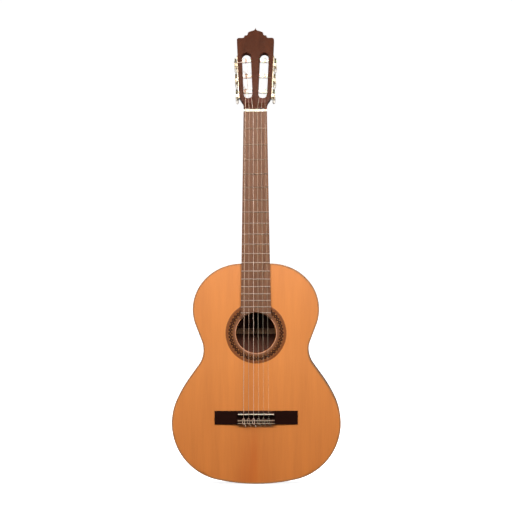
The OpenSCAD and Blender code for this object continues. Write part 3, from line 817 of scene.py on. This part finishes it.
# ---------------------------------------------------------------- strings
SADDLE_SPREAD = 54.0
NUT_SPREAD = 43.0
SADDLE_H = 13.6
NUT_STRING_Y = -8.3
# The tie block: its string holes' depth, its lower and upper faces, and its top
TIE_HOLE_Y = -4.8
TIE_LOW, TIE_HIGH = 128.5, 138.3
TIE_TOP = -9.0
# Turns on the roller and where they start, outward from the slot's middle. The roller next to
# the nut takes its string further out, where it clears the two that pass it.
NEAR_TURNS, NEAR_LANDING = 3.6, 4.5
FAR_TURNS, FAR_LANDING = 4.4, 0.3
TURN_POINTS = 20
CLEAR = 0.05
# How far each cut end runs out from its roller
END_OUT = {1: 9.0, 2: 33.0, 3: 12.0, 4: 33.0, 5: 11.0, 6: 8.0}
LONG_END = 20


def string_x(n, spread_mm):
    """Where the string stands across a spread from the first string to the sixth."""
    return spread_mm * (0.5 - (n - 1) / 5)


def next_to_nut(n):
    return along_slot(n) == -1


def landing(n):
    """Where the string meets its roller, along w."""
    return SLOT_MIDDLE + (NEAR_LANDING if next_to_nut(n) else FAR_LANDING)


def roller_wrap(n, radius):
    """A function for the winding: the place after a turn in radians from where the string
    meets the roller, shift mm outward along it and lift mm above its surface."""
    centre = tuner_place(n, landing(n), ROLLER_D, 0)
    axis = (tuner_place(n, landing(n) + 1, ROLLER_D, 0) - centre).normalized()
    start = place(string_x(n, NUT_SPREAD), NUT_STRING_Y, NUT_Z)
    run = centre - start
    run -= axis * run.dot(axis)
    along = run.normalized()
    front = axis.cross(along)
    if front.y > 0:
        front = -front
    reach = (ROLLER_R + radius + 0.06) * MM
    lag = math.asin(reach / run.length)

    def at(turn, shift=0.0, lift=0.0):
        far = reach + lift * MM
        return (centre + axis * shift * MM + front * far * math.cos(turn - lag)
                + along * far * math.sin(turn - lag))
    return at


def string(n):
    """One string: its sounding length, the knot at the bridge, its turns and its cut end."""
    radius = STRING_DIA[n] / 2
    finish, slot = (NYLON, "nylon") if n in TREBLES else (WOUND[n], "wound_string")
    on_roller = f"roller_body_{n}"
    at = roller_wrap(n, radius)
    x = string_x(n, SADDLE_SPREAD)
    crown = -SADDLE_H - radius - 0.04
    points = [place(x, TIE_HOLE_Y, TIE_LOW + 1), place(x, TIE_HOLE_Y, TIE_HIGH),
              place(x, TIE_HOLE_Y - 0.35, TIE_HIGH + 0.8),
              place(x, crown + 0.25, SADDLE_Z - 0.6), place(x, crown, SADDLE_Z + 0.1),
              place(string_x(n, NUT_SPREAD), NUT_STRING_Y, NUT_Z), at(0)]
    verts, faces, grain = tube(points, radius)
    piece(f"string_{n}_sounding", verts, faces, finish, slot, stands_for=[f"string_{n}"],
          grain=grain)

    # Knot at the bridge: out of the block's hole, over its top, under the string, back over the
    # top and tucked under itself. The sixth string's end is tucked a little shorter.
    top = TIE_TOP - radius - CLEAR
    tuck = 0.9 if n == 6 else 1.0
    loop = [(0, TIE_HOLE_Y, TIE_LOW + 0.6), (0.1, TIE_HOLE_Y, TIE_LOW - 0.4),
            (0.5, TIE_HOLE_Y - 0.8, TIE_LOW - 1.0 - radius),
            (1.1, TIE_TOP + 1.2, TIE_LOW - 0.9 - radius),
            (1.5, top - 0.9 * radius, TIE_LOW + 0.2), (1.8, top - 0.6 * radius, TIE_LOW + 2.0),
            (2.0, top, TIE_HIGH - 2.6), (1.9, top - 0.1, TIE_HIGH + 0.2),
            (1.4, TIE_TOP + 1.1, TIE_HIGH + 2.0), (0.1, TIE_TOP + 2.9, TIE_HIGH + 3.6),
            (-1.3, TIE_TOP + 1.2, TIE_HIGH + 2.4), (-2.0, top - 0.1, TIE_HIGH + 0.3),
            (-2.3, top, TIE_HIGH - 2.6), (-2.0, top, TIE_LOW + 2.6),
            (-0.8, top, TIE_LOW + 0.9), (0.9, top + 0.15, TIE_LOW + 0.2),
            (2.6, top + 0.3, TIE_LOW - 0.3), (4.2 * tuck, top - 0.3, TIE_LOW - 2.2),
            (5.0 * tuck, top - 1.1, TIE_LOW - 5.5)]
    verts, faces, grain = tube(curved([place(x + a, b, c) for a, b, c in loop]), radius, 10)
    piece(f"string_{n}_knot", verts, faces, finish, slot, grain=grain)

    # Turns on the roller, side by side, towards the headstock's edge. The last one dips into
    # the roller's hole.
    turns = NEAR_TURNS if next_to_nut(n) else FAR_TURNS
    pitch = 2 * radius + CLEAR
    steps = int(turns * TURN_POINTS)
    wound = [at(2 * math.pi * turns * k / steps, pitch * turns * k / steps)
             for k in range(steps + 1)]
    last, edge = 2 * math.pi * turns, pitch * (turns + 0.05)
    wound += [at(last + 0.25, edge, -0.5), at(last + 0.45, edge, -1.6)]
    verts, faces, grain = tube(wound, radius, 10)
    piece(f"string_{n}_turns", verts, faces, finish, slot, on_roller, grain=grain)

    # The cut end comes out of the roller before the first turn, and rises over the turns and
    # the headstock's edge. Each row is a turn in radians, and mm above and along the roller.
    out = END_OUT[n]
    droop = -0.6 if out > LONG_END else 0.3
    slack = [(0.0, -1.4, 0.2), (0.05, 0.9, 0.4), (droop * 0.3, 3.4, 1.2),
             (droop * 0.6, 6.0, 3.0), (droop * 0.8, 7.6, 6.0), (droop, 9.2, out * 0.5),
             (droop, 9.4, out)]
    start = -1.9 * pitch
    line = curved([at(turn, start + shift, lift) for turn, lift, shift in slack])
    verts, faces, grain = tube(line, radius, 10)
    piece(f"string_{n}_end", verts, faces, finish, slot, on_roller, grain=grain)


for n in STRINGS:
    string(n)

# ---------------------------------------------------------------- tuners
WORM_R = 3.0
TOOTH_H = 1.3
WORM_SHAFT_R = 1.6
# Where the worm's thread and its shaft start and end, into the headstock's depth
WORM_IN, WORM_OUT = 6.1, 14.9
SHAFT_IN, SHAFT_OUT = 3.4, 38.0
GEAR_R = 6.2
GEAR_OUT = 6.75
TURNED_SIDES = 24
STEP = 0.05


def turned(n, sections, name):
    """A part turned in brass on the worm's axis, from (d, radius) sections."""
    rows = []
    for d, radius in sections:
        angles = [2 * math.pi * k / TURNED_SIDES for k in range(TURNED_SIDES)]
        rows.append([tuner_place(n, WORM_W + radius * math.cos(a), d,
                                 -WORM_DROP + radius * math.sin(a)) for a in angles])
    points, faces = skin(rows)
    piece(name, points, faces, BRASS, "brass", f"button_body_{n}", stands_for=[f"worm_{n}"])


def worm(n):
    """A shaft with a single cut thread that meets the gear's teeth."""
    pitch = 2 * math.pi * (GEAR_R - TOOTH_H / 2) / GEAR_TEETH
    core = WORM_R - TOOTH_H
    sunk = core - 0.25
    thread = [(-0.32, sunk), (-0.13, WORM_R), (0.13, WORM_R), (0.32, sunk)]
    steps = int((WORM_OUT - WORM_IN - pitch) / pitch * TURNED_SIDES)
    rows = []
    for k in range(steps + 1):
        turn = 2 * math.pi * k / TURNED_SIDES
        # The thread runs out into the core at both ends
        full = min(1.0, 2.5 * min(1.0, 4 * k / steps + 0.1, 4 * (steps - k) / steps + 0.1))
        middle = WORM_IN + pitch / 2 + pitch * k / TURNED_SIDES
        row = []
        for shift, radius in thread:
            reach = sunk + (radius - sunk) * full
            row.append(tuner_place(n, WORM_W + reach * math.cos(turn), middle + shift * pitch,
                                   -WORM_DROP + reach * math.sin(turn)))
        rows.append(row)
    points, faces = skin(rows)
    piece(f"worm_{n}_thread", points, faces, BRASS, "brass", f"button_body_{n}",
          stands_for=[f"worm_{n}"])
    turned(n, [(SHAFT_IN + 0.3, WORM_SHAFT_R - 0.3), (SHAFT_IN + 0.6, WORM_SHAFT_R),
               (WORM_IN - STEP, WORM_SHAFT_R), (WORM_IN, core), (WORM_OUT, core),
               (WORM_OUT + STEP, WORM_SHAFT_R), (SHAFT_OUT, WORM_SHAFT_R)],
           f"worm_{n}_shaft")


# The grip's sections: depth, half width along the headstock, half thickness
GRIP = [(25.0, 3.0, 3.0), (25.3, 3.6, 3.3), (26.8, 3.9, 3.4), (28.2, 4.0, 3.3), (29.3, 4.6, 3.1),
        (30.6, 6.0, 3.0), (32.3, 7.4, 3.1), (34.5, 8.5, 3.3), (37.0, 9.0, 3.5), (39.5, 8.9, 3.5),
        (41.8, 8.0, 3.3), (43.6, 6.5, 2.9), (44.9, 4.6, 2.3), (45.6, 2.6, 1.5), (45.9, 0.9, 0.6)]
GRIP_SIDES = 40
FERRULE = [(22.6, 1.7), (22.6, 3.0), (23.0, 3.3), (24.6, 3.3), (24.95, 2.9), (24.95, 1.7)]
# The gear's screw: how far out of the gear, and radius
SCREW = [(0.02, 2.45), (0.65, 2.45), (0.85, 2.2), (0.88, 1.2)]
SCREW_SIDES = 28
SCREW_SLOT = 0.35
SLOT_DEEP = 0.45


def button(n):
    """Pearloid grip: a flattened oval that swells to the end, behind a pressed ferrule."""
    rows = []
    for d, half, thick in GRIP:
        row = []
        for k in range(GRIP_SIDES):
            a = 2 * math.pi * k / GRIP_SIDES
            across = math.copysign(abs(math.cos(a)) ** 0.8, math.cos(a))
            row.append(tuner_place(n, WORM_W + thick * math.sin(a), d, -WORM_DROP + half * across))
        rows.append(row)
    points, faces = skin(rows)
    obj = piece(f"button_{n}_grip", points, faces, PEARLOID, "pearl_plastic", f"button_body_{n}",
                stands_for=[f"button_{n}"])
    smooth = obj.modifiers.new("smooth", "SUBSURF")
    smooth.levels = smooth.render_levels = 1
    turned(n, FERRULE, f"button_{n}_ferrule")


def gear_screw(n):
    """Slotted cheese-head screw that holds the gear on its roller."""
    rows = []
    for height, radius in SCREW:
        row = []
        for k in range(SCREW_SIDES):
            a = 2 * math.pi * k / SCREW_SIDES
            u, d = radius * math.sin(a), radius * math.cos(a)
            cut = SLOT_DEEP if abs(u) < SCREW_SLOT and height > SLOT_DEEP else 0
            row.append(tuner_place(n, GEAR_OUT + height - cut, ROLLER_D + d, u))
        rows.append(row)
    points, faces = skin(rows)
    piece(f"gear_{n}_screw", points, faces, STEEL, "brass", f"roller_body_{n}")


for n in STRINGS:
    worm(n)
    button(n)
    gear_screw(n)

# ---------------------------------------------------------------- floor, light and camera
PAPER_GLOW = 0.9


def paper():
    """Matt white paper with a faint tooth, which glows evenly so that it stays white."""
    made, tree, shader = material("white_paper", "#FFFFFF", 0.9)
    where = millimetres(tree)
    tooth = add(tree, "TexNoise", {"Scale": 0.05, "Detail": 2.0}, {"Vector": where})
    tree.links.new(mixed(tree, tooth.outputs[0], "#FFFFFF", "#FBFBFB"),
                   shader.inputs["Base Color"])
    shader.inputs["Emission Color"].default_value = (1, 1, 1, 1)
    shader.inputs["Emission Strength"].default_value = PAPER_GLOW
    return made


SWEEP_REACH, SWEEP_BEND, SWEEP_HIGH = 12000, 1500, 6000
SWEEP_FLOOR = -1.5
SWEEP_SIDES = 96


def sweep():
    """White paper on the floor that curves up into a round wall, and throws no light back."""
    foot = SWEEP_REACH - SWEEP_BEND
    path = [(1, SWEEP_FLOOR), (foot, SWEEP_FLOOR)]
    for a in range(6, 91, 6):
        turn = math.radians(a)
        path.append((foot + SWEEP_BEND * math.sin(turn),
                     SWEEP_FLOOR + SWEEP_BEND - SWEEP_BEND * math.cos(turn)))
    path.append((SWEEP_REACH, SWEEP_HIGH))
    around = [2 * math.pi * k / SWEEP_SIDES for k in range(SWEEP_SIDES)]
    points = [(r * MM * math.cos(a), r * MM * math.sin(a), z * MM)
              for r, z in path for a in around]
    n = SWEEP_SIDES
    faces = [tuple(range(n))]
    faces += [(j * n + k, j * n + (k + 1) % n, (j + 1) * n + (k + 1) % n, (j + 1) * n + k)
              for j in range(len(path) - 1) for k in range(n)]
    mesh = bpy.data.meshes.new("paper_sweep")
    mesh.from_pydata(points, [], faces)
    for face in mesh.polygons:
        face.use_smooth = True
    obj = bpy.data.objects.new("paper_sweep", mesh)
    bpy.context.scene.collection.objects.link(obj)
    mesh.materials.append(paper())
    obj.visible_diffuse = obj.visible_glossy = obj.visible_shadow = False


sweep()


def softbox(name, at, aim, size, power):
    """A white rectangle of light, unseen by the camera. Places and sizes are in metres."""
    lamp = bpy.data.lights.new(name, "AREA")
    lamp.shape = "RECTANGLE"
    lamp.size, lamp.size_y = size
    lamp.energy = power
    obj = bpy.data.objects.new(name, lamp)
    obj.location = at
    obj.rotation_euler = (Vector(aim) - Vector(at)).to_track_quat("-Z", "Y").to_euler()
    obj.visible_camera = False
    bpy.context.scene.collection.objects.link(obj)


softbox("key_softbox", (0.05, -1.35, 1.2), (0, 0, 0.4), (1.3, 0.4), 34.5)
softbox("fill_softbox_left", (-1.6, -2.4, 0.9), (0, 0, 0.5), (1.2, 1.6), 14)
softbox("fill_softbox_right", (1.6, -2.4, 0.9), (0, 0, 0.5), (1.2, 1.6), 14)
softbox("rear_softbox", (0.6, 2.6, 2.4), (0, 0, 0.5), (1.6, 1.2), 40)


def studio():
    """A room with a pale ceiling and walls that is dark in front of the guitar."""
    world = bpy.data.worlds.new("studio")
    world.use_nodes = True
    tree = world.node_tree
    where = add(tree, "TexCoord").outputs["Generated"]
    parts = add(tree, "SeparateXYZ", links={0: where})
    shade = add(tree, "ValToRGB", {"stops": [(0.0, linear("#303030")), (1.0, linear("#F4F4F4"))]},
                {0: spread(tree, parts.outputs[2], 0.0, 1.0)})
    walls = mixed(tree, spread(tree, parts.outputs[1], -0.85, -0.35), "#060606", shade.outputs[0])
    tree.links.new(walls, tree.nodes["Background"].inputs["Color"])
    tree.nodes["Background"].inputs["Strength"].default_value = 0.9
    bpy.context.scene.world = world


studio()
bpy.context.scene.view_settings.view_transform = "Standard"
bpy.context.scene.view_settings.look = "None"

# The camera stands far back, level with the guitar's middle and a little to the treble side.
# FRAME_TALL is how many metres it takes in at AIM, and ROLL how far the guitar leans in it.
AIM = Vector((0.0006, FACE_Y * MM, 0.4905))
EYE = Vector((0.13, FACE_Y * MM - 6.4, 0.4905))
FRAME_TALL = 1.102
SENSOR = 36
ROLL = math.radians(-0.18)
lens = bpy.data.cameras.new("camera")
lens.sensor_width = SENSOR
lens.lens = SENSOR * (AIM - EYE).length / FRAME_TALL
lens.clip_end = 100
camera = bpy.data.objects.new("camera", lens)
camera.location = EYE
camera.rotation_euler = (AIM - EYE).to_track_quat("-Z", "Y").to_euler()
camera.rotation_euler.rotate_axis("Z", ROLL)
bpy.context.scene.collection.objects.link(camera)
bpy.context.scene.camera = camera
